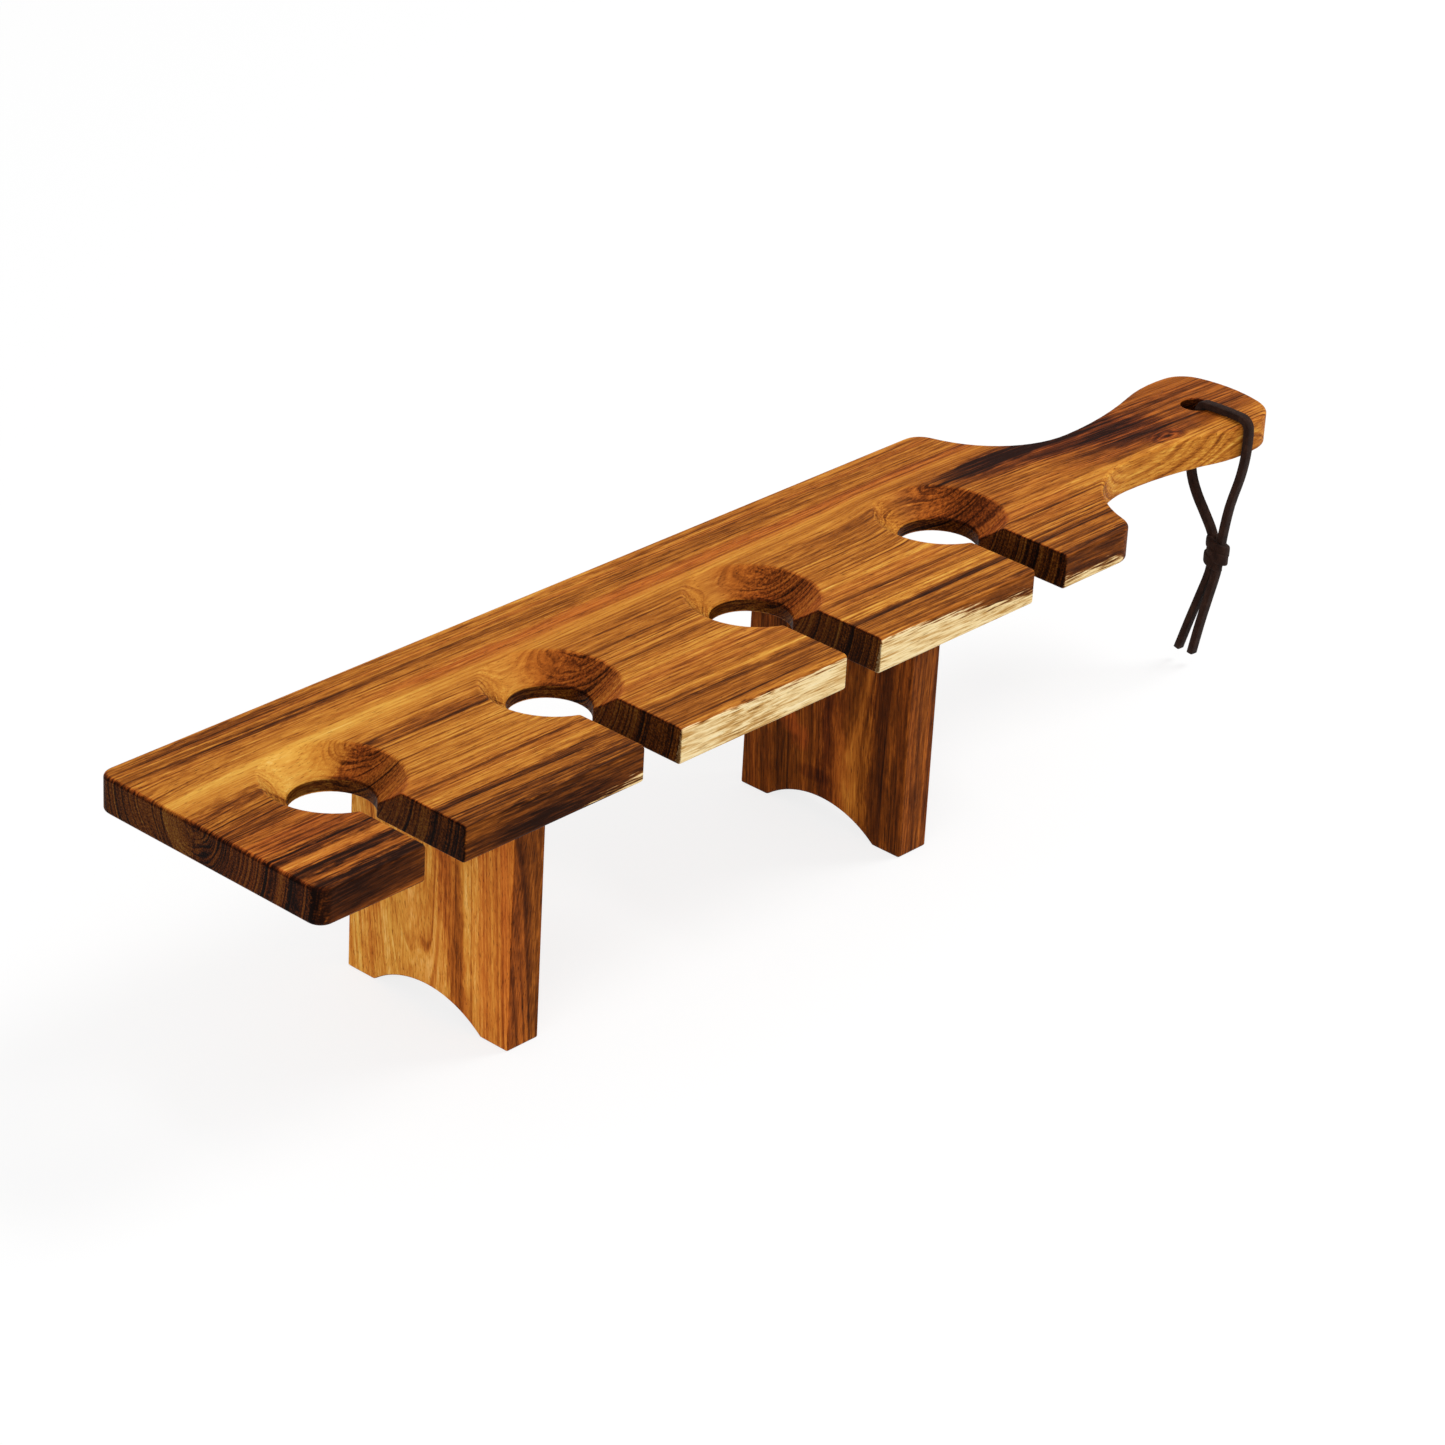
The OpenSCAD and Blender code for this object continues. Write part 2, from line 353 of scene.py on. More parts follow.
def newGroup(name, inputs, outputs):
    group = bpy.data.node_groups.new(name, "ShaderNodeTree")
    for label, kind in inputs.items():
        group.interface.new_socket(label, in_out="INPUT", socket_type="NodeSocket" + kind)
    for label, kind in outputs.items():
        group.interface.new_socket(label, in_out="OUTPUT", socket_type="NodeSocket" + kind)
    return group, group.nodes.new("NodeGroupInput").outputs, group.nodes.new("NodeGroupOutput").inputs


def placed(tree, group, inputs):
    made = tree.nodes.new("ShaderNodeGroup")
    made.node_tree = group
    for key, value in inputs.items():
        join(tree, value, made.inputs[key])
    return made.outputs


print("material tools ready")


# All wood is one solid pattern: year rings round a pith line, cut through by every face of a piece.
# Lengths inside the wood's nodes are millimetres.

grainLook = {
    "ringWidth": 2.1,
    "ringDrift": 4.0,               # rings that the slow drift moves a line by
    "drift": (300, 30, 7),          # its cell sizes
    "lateWood": (0.35, 0.92),       # shares of a ring between which it darkens
    "ringEnd": (1.0, 0.93),         # and over which it ends
    "ringPatches": (200, 25, 3.2),  # cell sizes of the patches in which the rings are strong
    "sideReach": 20.0,              # length that stands for the way across the pith
    "pithRadius": 0.5,
    "crowding": 9.0,                # the finest lines crowd together and spread out by this much
    "turn": 0.62,                   # radians about the fibre, so no flat face cuts the noise in even rows
    "roughness": 0.62,
    # place, cell sizes with the fibre's way first, detail, and the levels that become 0 and 1
    "noises": {
        "Broad": ("rolled", (600, 34, 6.5), 1.0, (0.3, 0.7)),
        "Streak": ("rolled", (420, 26, 2.3), 2.0, (0.3, 0.7)),
        "Thin": ("uneven", (130, 14, 0.85), 3.0, (0.3, 0.7)),
        "Thread": ("uneven", (170, 24, 1.1), 1.0, (0.58, 0.70)),
        "Fibre": ("plain", (13, 0.75, 0.75), 3.0, (0.3, 0.7)),
        "Pore": ("plain", (4.5, 0.36, 0.36), 1.0, (0.62, 0.74)),
        "Figure": ("plain", (16, 22, 22), 3.0, (0.3, 0.7)),
    },
}


def makeGrain(look):
    # Place is measured from the pith, with x along the fibre; Offset moves the pattern for another piece
    tree, given, out = newGroup(
        "wood grain", {"Place": "Vector", "Offset": "Vector"},
        {label: "Float" for label in ("Radius", "Side", "Ring", *look["noises"])})
    x, y, z = parts(tree, given["Place"])
    radius = maths(tree, "ADD", maths(tree, "MULTIPLY", y, y), maths(tree, "MULTIPLY", z, z))
    radius = maths(tree, "SQRT", radius)
    side = maths(tree, "DIVIDE", y, maths(tree, "MAXIMUM", radius, look["pithRadius"]))
    rolled = vector(tree, x, maths(tree, "MULTIPLY", side, look["sideReach"]), radius)
    rolled = vectors(tree, "ADD", rolled, given["Offset"])
    plain = vectors(tree, "ADD", given["Place"], given["Offset"])
    plain = put(tree, "ShaderNodeVectorRotate", {"Vector": plain, "Angle": look["turn"]},
                rotation_type="X_AXIS").outputs[0]
    drift = stretchedNoise(tree, rolled, look["drift"])
    uneven = vectors(tree, "ADD", rolled, vector(tree, z=maths(tree, "MULTIPLY", drift, look["crowding"])))

    # a year ring darkens slowly and ends at once
    phase = maths(tree, "DIVIDE", radius, look["ringWidth"])
    phase = maths(tree, "ADD", phase, maths(tree, "MULTIPLY", drift, look["ringDrift"]))
    saw = maths(tree, "FRACT", phase)
    late = spread(tree, saw, *look["lateWood"], smooth=True)
    end = spread(tree, saw, *look["ringEnd"], smooth=True)
    strength = spread(tree, stretchedNoise(tree, rolled, look["ringPatches"], detail=1.0), 0.35, 0.7)
    ring = maths(tree, "MULTIPLY", maths(tree, "MULTIPLY", late, end), strength)

    places = {"rolled": rolled, "uneven": uneven, "plain": plain}
    found = {"Radius": radius, "Side": side, "Ring": ring}
    for label, (place, size, detail, (low, high)) in look["noises"].items():
        level = stretchedNoise(tree, places[place], size, detail=detail, roughness=look["roughness"])
        found[label] = spread(tree, level, low, high)
    for label, value in found.items():
        tree.links.new(value, out[label])
    return tree


oiledLook = {
    # colours of the heartwood, the red heartwood and the sapwood by tone, 0 dark to 1 pale
    "heart": [
        (0.00, (0.016, 0.004, 0.001)), (0.18, (0.066, 0.016, 0.002)), (0.36, (0.195, 0.051, 0.005)),
        (0.52, (0.385, 0.118, 0.013)), (0.68, (0.575, 0.220, 0.028)), (0.84, (0.740, 0.380, 0.060)),
        (1.00, (0.880, 0.600, 0.180))],
    "red": [
        (0.00, (0.016, 0.003, 0.001)), (0.30, (0.125, 0.024, 0.004)), (0.55, (0.420, 0.090, 0.012)),
        (1.00, (0.800, 0.250, 0.035))],
    "sapwood": [
        (0.00, (0.150, 0.060, 0.014)), (0.30, (0.560, 0.310, 0.090)), (0.55, (0.880, 0.680, 0.350)),
        (1.00, (0.970, 0.880, 0.640))],
    "pore": (0.05, 0.02, 0.008),
    "poreShare": 0.35,
    "soakedOrShaded": (0.20, 0.165, 0.14),      # how much light is left where the fibre is cut across, and painted shade on the board's hole walls
    "roughness": (0.56, 0.44),          # beside a fibre and on it
    "poreRoughness": 0.2,
    "fibreHeight": 0.5,
    "bump": 0.28,
    "shine": 0.03,
}


def makeFinish(look):
    # turns tone and masks into oiled colour, roughness and height; the end mask is 1 where the fibre is cut
    # across and on the board's hole walls, which get painted shade
    tree, given, out = newGroup(
        "oiled wood",
        {label: "Float" for label in ("Tone", "Red", "Sapwood", "Fibre", "Pore", "End")},
        {"Color": "Color", "Roughness": "Float", "Height": "Float"})
    heart, red, pale = (ramp(tree, given["Tone"], look[k]) for k in ("heart", "red", "sapwood"))
    colour = blend(tree, given["Red"], heart, red)
    colour = blend(tree, given["Sapwood"], colour, pale)
    colour = blend(tree, maths(tree, "MULTIPLY", given["Pore"], look["poreShare"]), colour, look["pore"])
    # darker oiled end grain, and painted shade where the board's hole walls are in the mask
    soakedOrShaded = blend(tree, 1.0, colour, look["soakedOrShaded"], mode="MULTIPLY")
    tree.links.new(blend(tree, given["End"], colour, soakedOrShaded), out["Color"])
    rough = spread(tree, given["Fibre"], 0.0, 1.0, *look["roughness"])
    rough = maths(tree, "MULTIPLY_ADD", given["Pore"], look["poreRoughness"], rough)
    tree.links.new(rough, out["Roughness"])
    height = maths(tree, "MULTIPLY", given["Fibre"], look["fibreHeight"])
    tree.links.new(maths(tree, "SUBTRACT", height, given["Pore"]), out["Height"])
    return tree


spotShape = {
    "endPower": 2.6,        # how suddenly a spot ends lengthwise
    "fade": (0.1, 2.0),     # where it starts to fade and where it is gone, 1 at its half length and width
}


def makeSpot(shape):
    # a long spot with soft ends, 1 in its middle
    tree, given, out = newGroup(
        "soft spot",
        {label: "Float" for label in ("Along", "Across", "Place", "Depth", "Half Length", "Half Width")},
        {"Mask": "Float"})
    far = maths(tree, "SUBTRACT", given["Along"], given["Place"])
    far = maths(tree, "ABSOLUTE", maths(tree, "DIVIDE", far, given["Half Length"]))
    far = maths(tree, "POWER", far, shape["endPower"])
    wide = maths(tree, "SUBTRACT", given["Across"], given["Depth"])
    wide = maths(tree, "DIVIDE", wide, given["Half Width"])
    away = maths(tree, "MULTIPLY_ADD", wide, wide, far)
    tree.links.new(spread(tree, away, *shape["fade"], 1.0, 0.0, smooth=True), out["Mask"])
    return tree


grainGroup = makeGrain(grainLook)
finishGroup = makeFinish(oiledLook)
spotGroup = makeSpot(spotShape)


def spotSums(tree, along, across, spots):
    # how much darker and how much redder all the spots make the wood together
    darker, redder = 0.0, 0.0
    for place, depth, halfLength, halfWidth, dark, red in spots:
        spot = placed(tree, spotGroup, {"Along": along, "Across": across, "Place": place, "Depth": depth,
                                        "Half Length": halfLength, "Half Width": halfWidth})["Mask"]
        darker = maths(tree, "MULTIPLY_ADD", spot, dark, darker)
        redder = maths(tree, "MULTIPLY_ADD", spot, red, redder)
    return darker, redder


def tonesOf(tree, grain, tone, weights):
    # streaks, thin lines, year rings, fibre and figure laid over the tone; lines and pores only darken
    for label, weight in weights.items():
        middle = 0.0 if label in ("Ring", "Thread", "Pore") else 0.5
        tone = swing(tree, tone, grain[label], weight, middle)
    return tone


def endMask(tree, alongFibre):
    # 1 where a face looks along the fibre
    return spread(tree, maths(tree, "ABSOLUTE", alongFibre), 0.35, 0.95, smooth=True)


def dress(tree, shader, grain, masks):
    finish = placed(tree, finishGroup, {**masks, "Fibre": grain["Fibre"], "Pore": grain["Pore"]})
    tree.links.new(finish["Color"], shader.inputs["Base Color"])
    tree.links.new(finish["Roughness"], shader.inputs["Roughness"])
    addBump(tree, shader, finish["Height"], oiledLook["bump"])
    shader.inputs["Specular IOR Level"].default_value = oiledLook["shine"]


boardGrain = {
    "top": 114.3,
    "bends": ((260, 45, 45), (0.0, 0.8, 2.6)),  # their lengths and their reach
    # the pith runs along the plank just above its top: x, y, height above the table
    "pith": [(-286, 6, 114.8), (-250, 9, 117), (-223, 10, 118), (-115, 11, 118.5), (-7, 13, 118.5),
             (60, 15, 118.3), (101, 19, 118), (150, 18, 118), (200, 14, 118), (286, 10, 118)],
    "pithMean": 12,
    "pithFelt": (12.0, 32.0),       # between these distances its sideways course fades out
    # tone of the wood by the place where its ring meets the top: y, 0 dark to 1 pale
    "tones": [(-70, 0.48), (-63, 0.44), (-57, 0.50), (-54, 0.45), (-51, 0.52), (-48, 0.46), (-45, 0.52),
              (-42, 0.44), (-39.5, 0.54), (-36.5, 0.58), (-33.5, 0.54), (-30, 0.50), (-27, 0.53),
              (-24.5, 0.48), (-21, 0.56), (-14, 0.58), (-8, 0.57), (-2, 0.57), (4, 0.54), (12, 0.53),
              (19, 0.55), (24, 0.61), (27, 0.67), (30, 0.59), (33, 0.53), (36, 0.54), (40, 0.56),
              (43, 0.50), (47, 0.52), (52, 0.54), (55, 0.60), (58, 0.58), (62, 0.57)],
    "paler": 0.03,                  # added to every tone
    "weights": {"Broad": 0.09, "Streak": 0.16, "Thin": 0.26, "Ring": -0.24, "Thread": -0.14,
                "Fibre": 0.30, "Pore": -0.16, "Figure": 0.06},
    # the golden band behind the pith is calm: its y, where it ends and fades out, strength of its lines
    "calm": (25.0, (3.0, 9.0), 0.5),
    # faces cut across the fibre and hole walls with painted shade: their tone, how far it is taken, strength
    # of their lines
    "cut": (0.48, 0.6, 1.7),
    # spots on the top: x, y, half length, half width, how much darker, how much redder
    "spots": [
        (-232, 52, 40, 2.6, 0.17, 0.1), (-222, 43, 50, 2.0, 0.16, 0.1), (-262, 12, 40, 2.6, 0.14, 0.2),
        (-272, -4, 26, 8, 0.20, 0.1), (-280, -34, 54, 30, 0.06, 0.3), (-264, -32, 40, 2.2, 0.30, 0.0),
        (-264, -44, 46, 2.4, 0.30, 0.0), (-262, -54, 46, 1.8, 0.30, 0.0),
        (-262, -38, 46, 2.0, -0.10, 0.1), (-262, -49, 46, 1.6, -0.10, 0.1), (-164, 9, 38, 2.6, 0.17, 0.2),
        (-176, -28, 50, 1.2, 0.16, 0.1), (-172, -42, 52, 2.0, 0.18, 0.1), (-170, -51, 56, 2.4, 0.20, 0.1),
        (-176, -36, 56, 2.0, -0.07, 0.0), (-230, -60, 76, 4.0, 0.16, 0.0),
        (-150, -58, 44, 2.4, 0.18, 0.0), (10, 33, 200, 4.4, 0.0, 0.5), (10, -37, 90, 2.2, -0.15, -0.2),
        (20, -42, 110, 1.8, 0.14, 0.0), (120, -34, 50, 2.6, -0.10, 0.0), (120, -56, 54, 2.4, 0.14, 0.1),
        (100, -62, 70, 3.0, 0.16, 0.3), (146, 13.5, 32, 4.0, 0.34, 0.1), (180, 16, 40, 4.4, 0.20, 0.4),
        (182, 8, 50, 6.0, 0.18, 0.6), (216, 0, 20, 8.0, 0.20, 0.4), (236, 8, 60, 26, 0.17, 0.4),
        (206, -22, 46, 7.5, -0.10, -0.8), (-230, 26, 70, 10, -0.10, -0.5),
        (-160, -10, 60, 12, -0.03, -0.4), (-250, -22, 30, 6, 0.12, 0.2), (150, 0, 60, 70, 0.06, 0.1),
        (-72, -59.5, 16, 2.0, 0.36, 0.2),
    ],
    "smoke": (16, 3.2, 3.2),        # cell sizes
    "spotLines": (0.75, 0.25),      # strength of the spots from the darkest thin lines to the palest
    "spotSmoke": (0.3, 0.7),        # what the smoke adds to it
    "frayed": (4.0, 1.6),           # how far smoke and fibre move the edges of the spots
    # where the pale sapwood starts along the front edge: x, depth from the middle
    "sapwood": [(-286, 62), (-215, 60.4), (-150, 59.2), (-126, 58.6), (-108, 56.9), (-60, 57.2), (-18, 57.1),
                (0, 57.0), (50, 57.8), (90, 58.5), (108, 58.7), (150, 59.0), (200, 70)],
    "sapwoodLean": 0.15,            # how far it reaches in for each millimetre down
    "sapwoodFrayed": 0.9,
    "sapwoodFade": (-0.15, 0.35),
    "sapwoodTone": (0.54, 0.4),     # its tone and how far it is taken
    "sapwoodFleck": (0.4, 0.5),     # the fibre's middle level, and how strongly it shows
    # the small knot in the handle: middle, then its half lengths along x, y and z
    "knot": ((226, -13, 114.3), (11, 7, 14)),
    "knotFade": (0.3, 1.2),         # from its middle to its rim, 1 at the half lengths
    "knotRings": 2.0,
    "knotCrumple": (14.0, 5.0, 6.0),    # cell sizes
    "knotCrumpled": 6.0,
    "knotTone": (-0.30, 0.44),      # of its middle, and what its rings add
    "knotRed": 0.8,
    # upright walls inside the holes, which get painted shade: x at which the neck starts and x of the tip,
    # both with their fade, and how far from the middle line the walls lie before and behind the start of the
    # neck
    "holes": {"neck": (149.0, 150.0), "tip": (273.0, 272.0), "reach": (17.6, 8.0), "fade": (0.0, -0.6),
              "upright": (0.3, 0.1)},
    "slope": (0.1, 0.4),            # upward parts of the normal between which a wall becomes a slope
    "paintedSlopeLight": 0.14,              # painted light: how much paler a slope that faces right is, and how much darker one that faces left is
    "paintedSlopeShadeRed": (-0.6, 0.8),        # painted shade made red: where one faces left enough to be red, and how red
    "redBands": (0.45, 0.35),       # the level from which the broad bands are red, and how red
}


def holeShadeMask(tree, x, y, turned, holes):
    # 1 on the straight walls of the holes, which get painted shade, and are oiled end grain where they face
    # along the fibre
    upright = spread(tree, maths(tree, "ABSOLUTE", turned["Z"]), *holes["upright"])
    reach = spread(tree, x, *holes["neck"], *holes["reach"])
    inside = spread(tree, maths(tree, "SUBTRACT", maths(tree, "ABSOLUTE", y), reach), *holes["fade"])
    beforeTip = spread(tree, maths(tree, "ABSOLUTE", x), *holes["tip"])
    return maths(tree, "MULTIPLY", maths(tree, "MULTIPLY", upright, inside), beforeTip)


def boardRings(tree, x, y, z, values):
    # the grain round the plank's pith, and the y of the place where each ring meets the top
    pithY = curve(tree, x, [(p[0], p[1]) for p in values["pith"]])
    pithZ = curve(tree, x, [(p[0], p[2]) for p in values["pith"]])
    # the pith's sideways course is felt near it alone, so the grain further out stays straight
    mean = values["pithMean"]
    off = maths(tree, "SUBTRACT", y, mean)
    nearby = spread(tree, maths(tree, "ABSOLUTE", off), *values["pithFelt"], 1.0, 0.0, smooth=True)
    aside = maths(tree, "MULTIPLY_ADD", maths(tree, "SUBTRACT", mean, pithY), nearby, off)
    place = vector(tree, x, aside, maths(tree, "SUBTRACT", z, pithZ))
    grain = placed(tree, grainGroup, {"Place": place})
    radius = grain["Radius"]
    above = maths(tree, "SUBTRACT", pithZ, values["top"])
    reach = maths(tree, "MULTIPLY", radius, radius)
    reach = maths(tree, "SUBTRACT", reach, maths(tree, "MULTIPLY", above, above))
    reach = maths(tree, "SQRT", maths(tree, "MAXIMUM", reach, 0.0))
    atTop = maths(tree, "MULTIPLY_ADD", reach, spread(tree, grain["Side"], -0.3, 0.3, -1.0, 1.0), mean)
    return grain, atTop


def knotMarks(tree, where, values):
    # 1 in the middle of a small knot, and the crumpled rings round it
    middle, reach = values["knot"]
    aside = vectors(tree, "DIVIDE", vectors(tree, "SUBTRACT", where, middle), reach)
    near = put(tree, "ShaderNodeVectorMath", {0: aside}, operation="LENGTH").outputs["Value"]
    crumple = stretchedNoise(tree, where, values["knotCrumple"], detail=1.0)
    crumple = maths(tree, "MULTIPLY", crumple, values["knotCrumpled"])
    rings = maths(tree, "MULTIPLY_ADD", near, values["knotRings"], crumple)
    rings = maths(tree, "PINGPONG", rings, 1.0)
    return spread(tree, near, *values["knotFade"], 1.0, 0.0, smooth=True), rings


def sapwoodMask(tree, x, y, z, fibre, values):
    # 1 where the front edge comes near the bark
    lean = maths(tree, "MULTIPLY", maths(tree, "SUBTRACT", values["top"], z), values["sapwoodLean"])
    depth = swing(tree, maths(tree, "SUBTRACT", lean, y), fibre, values["sapwoodFrayed"])
    start = curve(tree, x, values["sapwood"])
    return spread(tree, maths(tree, "SUBTRACT", depth, start), *values["sapwoodFade"], smooth=True)


def makeBoardWood(values):
    made, tree, shader = newMaterial("board_wood")
    where = swayed(tree, millimetres(tree), *values["bends"])
    x, y, z = parts(tree, where)
    turned = facing(tree)
    holeShade = holeShadeMask(tree, x, y, turned, values["holes"])
    # painted shade: the hole walls take the dark soaked colour of the end grain
    cut = maths(tree, "MAXIMUM", endMask(tree, turned["X"]), holeShade)
    grain, atTop = boardRings(tree, x, y, z, values)
    fibre = grain["Fibre"]

    # the profile is flatter and its lines are clearer on a face that is cut across, and on the hole walls
    # with painted shade
    cutTone, cutShare, cutLines = values["cut"]
    tone = curve(tree, atTop, values["tones"])
    tone = towards(tree, tone, cutTone, maths(tree, "MULTIPLY", cut, cutShare))
    band, fade, quiet = values["calm"]
    calm = spread(tree, distance(tree, atTop, band), *fade, quiet, 1.0, smooth=True)
    calm = maths(tree, "MAXIMUM", calm, cut)
    calm = maths(tree, "MULTIPLY", calm, spread(tree, cut, 0.0, 1.0, 1.0, cutLines))
    lines = tonesOf(tree, grain, 0.0, values["weights"])
    tone = maths(tree, "MULTIPLY_ADD", lines, calm, maths(tree, "ADD", tone, values["paler"]))

    # the spots, with edges frayed by smoke and fibre
    smoke = smokeOf(tree, where, values["smoke"])
    frayed = swing(tree, atTop, smoke, values["frayed"][0])
    frayed = swing(tree, frayed, fibre, values["frayed"][1])
    darker, redder = spotSums(tree, x, frayed, values["spots"])
    share = spread(tree, grain["Thin"], 0.0, 1.0, *values["spotLines"])
    share = maths(tree, "ADD", share, spread(tree, smoke, 0.0, 1.0, *values["spotSmoke"]))
    tone = maths(tree, "SUBTRACT", tone, maths(tree, "MULTIPLY", darker, share))
    eye, rings = knotMarks(tree, where, values)
    middleTone, ringTone = values["knotTone"]
    rings = maths(tree, "MULTIPLY_ADD", rings, ringTone, middleTone)
    tone = maths(tree, "MULTIPLY_ADD", eye, rings, tone)

    # painted light and shade: a slope that faces right is made paler, one that faces left darker and red
    slope = maths(tree, "MULTIPLY", turned["X"], spread(tree, turned["Z"], *values["slope"]))
    tone = maths(tree, "MULTIPLY_ADD", slope, values["paintedSlopeLight"], tone)
    facingLeft, paintedSlopeShadeRed = values["paintedSlopeShadeRed"]
    redder = maths(tree, "ADD", redder, spread(tree, slope, 0.0, facingLeft, 0.0, paintedSlopeShadeRed))

    sapwood = sapwoodMask(tree, x, y, z, fibre, values)
    fleckMiddle, fleckShare = values["sapwoodFleck"]
    fleck = maths(tree, "MULTIPLY", sapwood, fleckShare)
    tone = swing(tree, tone, fibre, fleck, fleckMiddle)
    sapTone, sapShare = values["sapwoodTone"]
    tone = towards(tree, tone, sapTone, maths(tree, "MULTIPLY", sapwood, sapShare))
    redFrom, redMost = values["redBands"]
    red = maths(tree, "ADD", spread(tree, grain["Broad"], redFrom, 1.0, 0.0, redMost), redder)
    red = maths(tree, "MULTIPLY_ADD", eye, values["knotRed"], red, clamp=True)
    dress(tree, shader, grain, {"Tone": tone, "Red": red, "Sapwood": sapwood, "End": cut})
    return made


legShared = {
    "bends": ((45, 45, 120), (4.0, 5.0, 0.0)),  # their lengths and their reach
    "smoke": (4.0, 4.0, 12.0),      # cell sizes
    "frayed": (5.0, 1.5),           # how far smoke and fibre move the edges of the spots
    "innerSpots": 0.25,             # what is left of the spots on the inner face
    "stripeFade": (0.2, 1.4),       # shares of its half width
    "stripeRed": 0.25,
    "narrow": (0.5, 0.9),           # sideways parts of the normal between which a face becomes a narrow one, which gets painted shade
}

legLooks = {
    # pith: its place from the leg's middle, across the thickness and the width; lean: of the pith, in the
    # same two ways; stripe: y at the foot, slant, half width, darkness; spots as on the board, but by
    # height and y; edge: painted shade and light on the narrow sides, how much paler they are
    "leg_left": {
        "pith": (-26.0, 3.0),
        "lean": (0.10, 0.08),
        "offset": (31.0, 57.0, 13.0),
        "tone": 0.80,
        "red": 0.50,
        "weights": {"Broad": 0.16, "Streak": 0.18, "Thin": 0.24, "Ring": -0.14, "Thread": -0.14,
                    "Fibre": 0.24, "Pore": -0.24, "Figure": 0.10},
        "stripe": (-18.5, 0.16, 6.4, 0.30),
        "spots": [(50, -36, 60, 11, 0.09, 0.5), (40, 30, 60, 3, 0.10, 0.1)],
        "edge": -0.30,
    },
    "leg_right": {
        "pith": (-34.0, -16.0),
        "lean": (0.04, 0.03),
        "offset": (271.0, 133.0, 77.0),
        "tone": 0.33,
        "red": 0.50,
        "weights": {"Broad": 0.08, "Streak": 0.15, "Thin": 0.22, "Ring": -0.10, "Thread": -0.12,
                    "Fibre": 0.24, "Pore": -0.16, "Figure": 0.08},
        "stripe": (-2.0, 0.0, 3.0, 0.16),
        "spots": [(40, -28, 70, 4, 0.12, 0.0), (40, -18, 70, 6, -0.05, -0.4), (40, -38, 70, 3, 0.12, 0.0),
                  (50, 10, 60, 4, -0.05, 0.0), (47, 30, 6, 5, -0.10, 0.8), (42, 24, 5, 5, -0.12, 0.9),
                  (37, 18, 5, 5, -0.12, 0.8), (32, 12, 5, 4, -0.06, 0.6), (19, 4, 3, 8, 0.10, 0.2)],
        "edge": 0.02,
    },
}


def makeLegWood(name, values):
    made, tree, shader = newMaterial(name + "_wood")
    low, high = (corner * 1000 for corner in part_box(name))
    where = swayed(tree, millimetres(tree), *legShared["bends"])
    x, y, z = parts(tree, where)
    turned = facing(tree)
    deepLean, wideLean = values["lean"]
    pithX = (low.x + high.x) / 2 + values["pith"][0]
    deep = maths(tree, "SUBTRACT", maths(tree, "MULTIPLY_ADD", z, -deepLean, x), pithX)
    wide = maths(tree, "SUBTRACT", maths(tree, "MULTIPLY_ADD", z, -wideLean, y), values["pith"][1])
    grain = placed(tree, grainGroup, {"Place": vector(tree, z, wide, deep), "Offset": values["offset"]})
    tone = tonesOf(tree, grain, values["tone"], values["weights"])

    # the spots lie in the outer face and fade inwards
    smoke = smokeOf(tree, where, legShared["smoke"])
    frayed = swing(tree, y, grain["Fibre"], legShared["frayed"][1])
    frayed = swing(tree, frayed, smoke, legShared["frayed"][0])
    darker, redder = spotSums(tree, z, frayed, values["spots"])
    outer = spread(tree, x, low.x, high.x, 1.0, legShared["innerSpots"])
    tone = maths(tree, "SUBTRACT", tone, maths(tree, "MULTIPLY", darker, outer))
    redder = maths(tree, "MULTIPLY", redder, outer)
    foot, slant, half, depth = values["stripe"]
    away = distance(tree, maths(tree, "MULTIPLY_ADD", z, -slant, frayed), foot)
    near, gone = (half * share for share in legShared["stripeFade"])
    stripe = spread(tree, away, near, gone, 1.0, 0.0, smooth=True)
    tone = maths(tree, "MULTIPLY_ADD", stripe, -depth, tone)

    # painted shade: the narrow front and rear faces are made darker on the left leg, a touch paler on the
    # right
    narrow = spread(tree, maths(tree, "ABSOLUTE", turned["Y"]), *legShared["narrow"])
    tone = maths(tree, "MULTIPLY_ADD", narrow, values["edge"], tone)
    red = maths(tree, "MULTIPLY_ADD", grain["Broad"], values["red"], redder)
    red = maths(tree, "MULTIPLY_ADD", stripe, legShared["stripeRed"], red, clamp=True)
    masks = {"Tone": tone, "Red": red, "Sapwood": 0.0, "End": endMask(tree, turned["Z"])}
    dress(tree, shader, grain, masks)
    return made


dowelLook = {
    "fibre": (0.5, 0.5, 12),
    "colours": [(0.3, (0.36, 0.22, 0.10)), (0.55, (0.58, 0.40, 0.22)), (0.8, (0.70, 0.54, 0.34))],
    "roughness": (0.7, 0.58),
    "bump": 0.3,
}


def makeDowelWood(look):
    made, tree, shader = newMaterial("dowel_wood")
    fibre = stretchedNoise(tree, millimetres(tree), look["fibre"], detail=3.0, roughness=0.6)
    tree.links.new(ramp(tree, fibre, look["colours"]), shader.inputs["Base Color"])
    tree.links.new(spread(tree, fibre, 0.3, 0.7, *look["roughness"]), shader.inputs["Roughness"])
    addBump(tree, shader, fibre, look["bump"])
    return made


boardWood = makeBoardWood(boardGrain)
legWoods = {name: makeLegWood(name, values) for name, values in legLooks.items()}
dowelWood = makeDowelWood(dowelLook)
print("wood ready")


suedeLook = {
    "nap": (0.28, 0.28, 0.28),
    "patches": (2.4, 2.4, 4.0),
    "colours": [(0.30, (0.009, 0.004, 0.003)), (0.52, (0.026, 0.011, 0.007)), (0.75, (0.060, 0.027, 0.016))],
    "roughness": (0.95, 0.85),
    "shine": 0.06,
    "sheen": (0.04, 0.5),           # its weight and its roughness
    "bump": 0.6,
}


